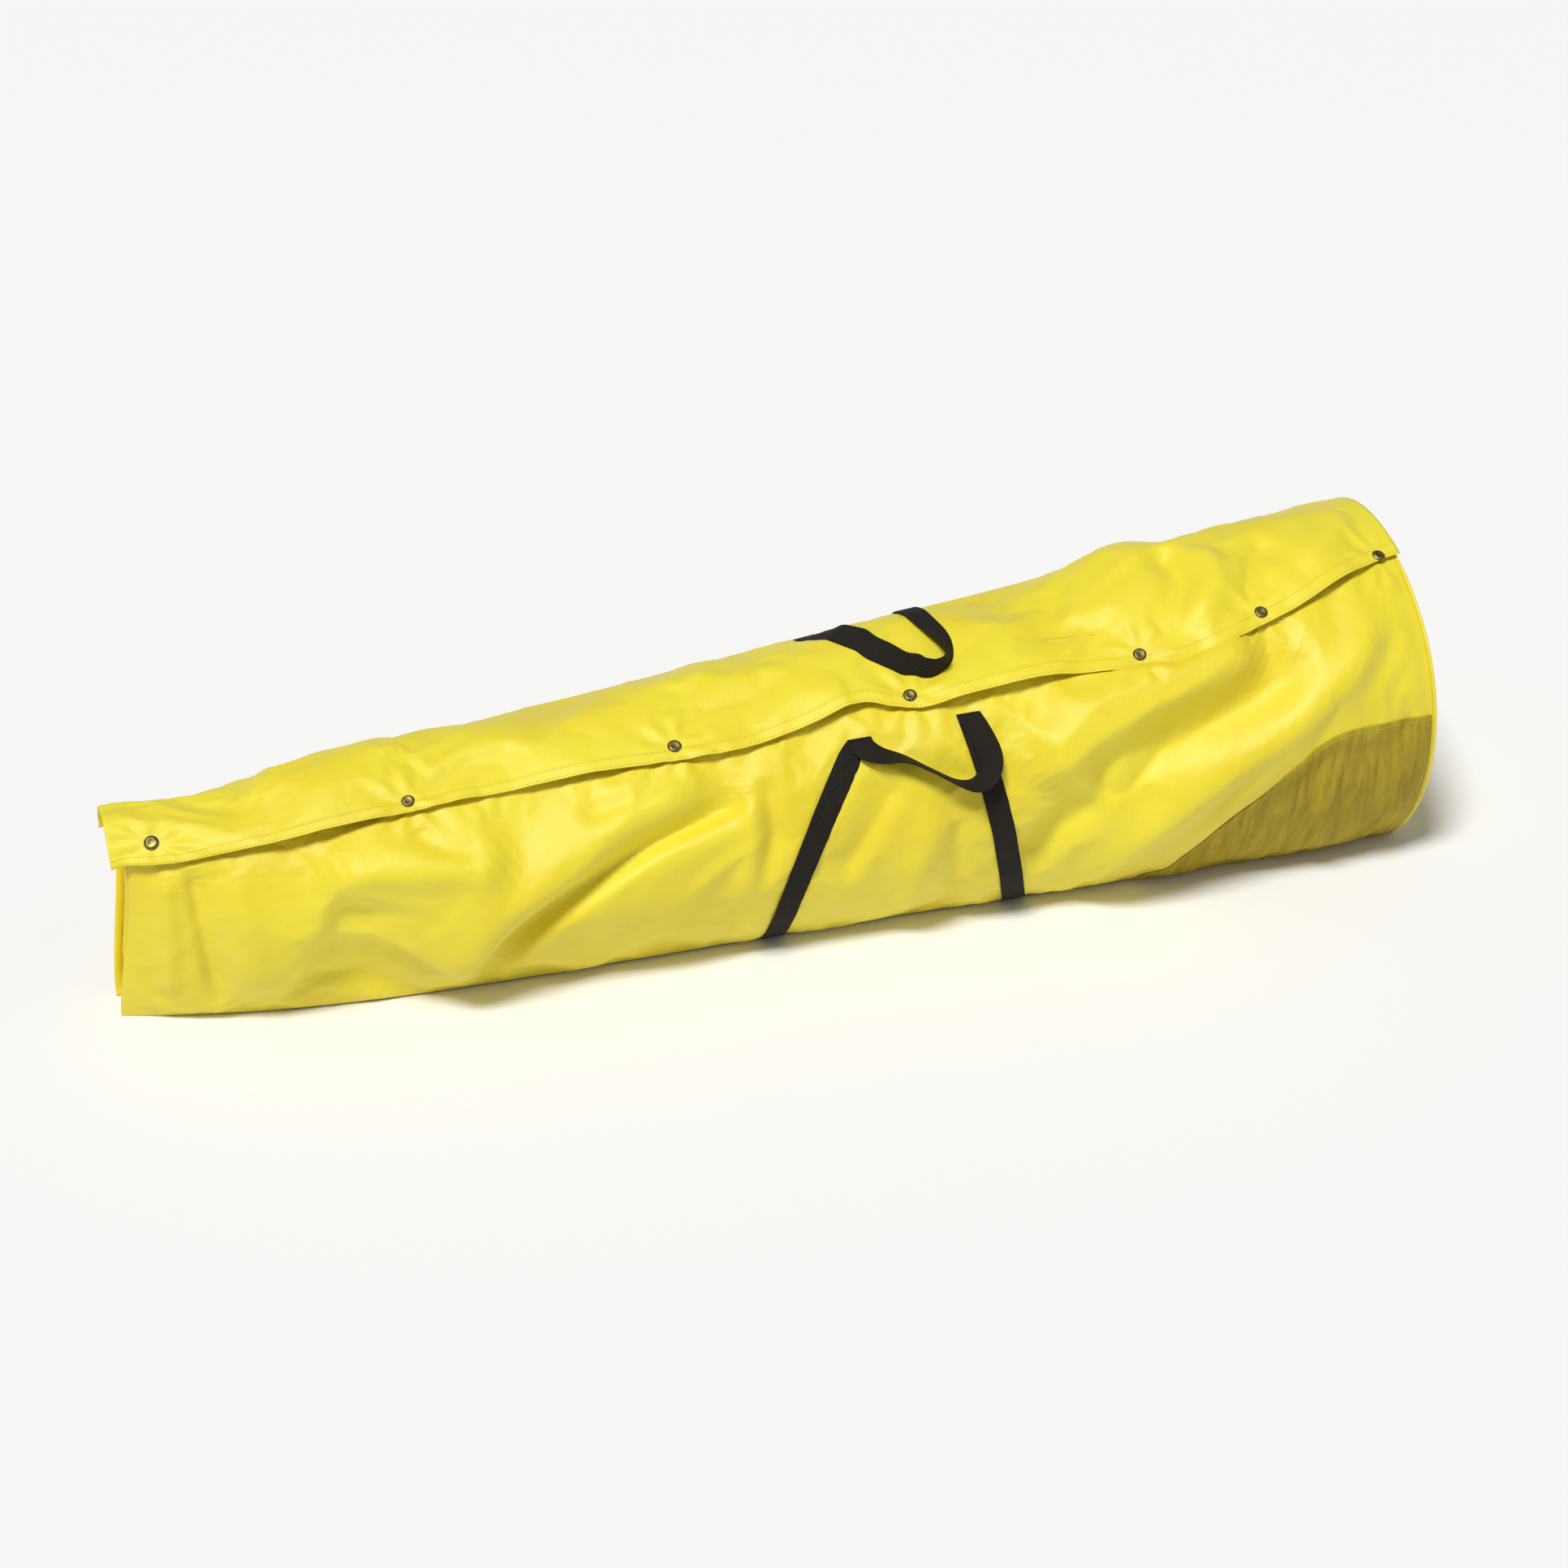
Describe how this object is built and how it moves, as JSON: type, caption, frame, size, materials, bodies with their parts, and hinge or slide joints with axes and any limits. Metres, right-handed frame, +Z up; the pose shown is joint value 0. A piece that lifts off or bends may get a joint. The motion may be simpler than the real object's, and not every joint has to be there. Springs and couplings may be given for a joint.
{
  "type": "windsock kit in carrying bag",
  "caption": "Tapered fabric carrying bag with a snap-down flap and webbing hand loops, holding a windsock, its hoop frame and a sectional pole.",
  "frame": {"origin": "on the floor, under the middle of the bag's length, on the underside of its base panel", "axes": "+X along the bag towards its wide end, -Y towards the front face with the snaps, +Z up"},
  "size_m": [1.3962, 0.3612, 0.335],
  "materials": {
    "bag_cloth": "PU-coated yellow nylon, slight gloss",
    "flap_cloth": "PU-coated yellow nylon, slight gloss",
    "patch_cloth": "dark olive-brown coated fabric, worn",
    "webbing": "woven webbing, matt",
    "snap_metal": "antique olive-brass plate",
    "pole_aluminium": "drawn, clear anodised",
    "frame_steel": "zinc plated",
    "windsock_cloth": "soft woven nylon"
  },
  "bodies": {
    "bag": {"front_panel": "bag_cloth", "back_panel": "bag_cloth", "base_panel": "bag_cloth", "narrow_end_panel": "bag_cloth", "wide_end_panel": "bag_cloth", "corner_patch": "patch_cloth", "strap_left": "webbing", "strap_right": "webbing", "snap_stud_1": "snap_metal", "snap_stud_2": "snap_metal", "snap_stud_3": "snap_metal", "snap_stud_4": "snap_metal", "snap_stud_5": "snap_metal", "snap_stud_6": "snap_metal", "snap_stud_7": "snap_metal", "pole_lower": "pole_aluminium", "pole_middle": "pole_aluminium", "pole_upper": "pole_aluminium", "ground_spike": "frame_steel", "spigot_lower": "frame_steel", "spigot_middle": "frame_steel", "spindle": "frame_steel", "throat_hoop": "frame_steel", "rear_hoop": "frame_steel", "pivot_sleeve": "frame_steel", "frame_stay_1": "frame_steel", "frame_stay_2": "frame_steel", "frame_stay_3": "frame_steel", "frame_stay_4": "frame_steel", "windsock_cloth": "windsock_cloth"},
    "flap": {"flap": "flap_cloth", "snap_cap_1": "snap_metal", "snap_cap_2": "snap_metal", "snap_cap_3": "snap_metal", "snap_cap_4": "snap_metal", "snap_cap_5": "snap_metal", "snap_cap_6": "snap_metal", "snap_cap_7": "snap_metal"},
    "front_handle": {"front_handle": "webbing"},
    "rear_handle": {"rear_handle": "webbing"},
    "swivel_collar": {"swivel_collar": "frame_steel"}
  },
  "joints": [
    {"name": "flap_open", "type": "hinge", "parent": "bag", "child": "flap", "pos_m": [0, 0.0899, 0.2438], "axis": [-0.9957, -0.0407, -0.0835], "range_deg": [0, 135]},
    {"name": "front_handle_swing", "type": "hinge", "parent": "bag", "child": "front_handle", "pos_m": [0.05891, -0.10152, 0.23205], "axis": [-0.9936, 0.0453, -0.1036], "range_deg": [0, 130]},
    {"name": "rear_handle_swing", "type": "hinge", "parent": "flap", "child": "rear_handle", "pos_m": [0.05891, 0.08353, 0.25807], "axis": [-0.9957, -0.0416, -0.0828], "range_deg": [0, 70]},
    {"name": "collar_spin", "type": "hinge", "parent": "bag", "child": "swivel_collar", "pos_m": [0.575, 0, 0.05898], "axis": [0.9999, 0, 0.0137], "continuous": true}
  ]
}
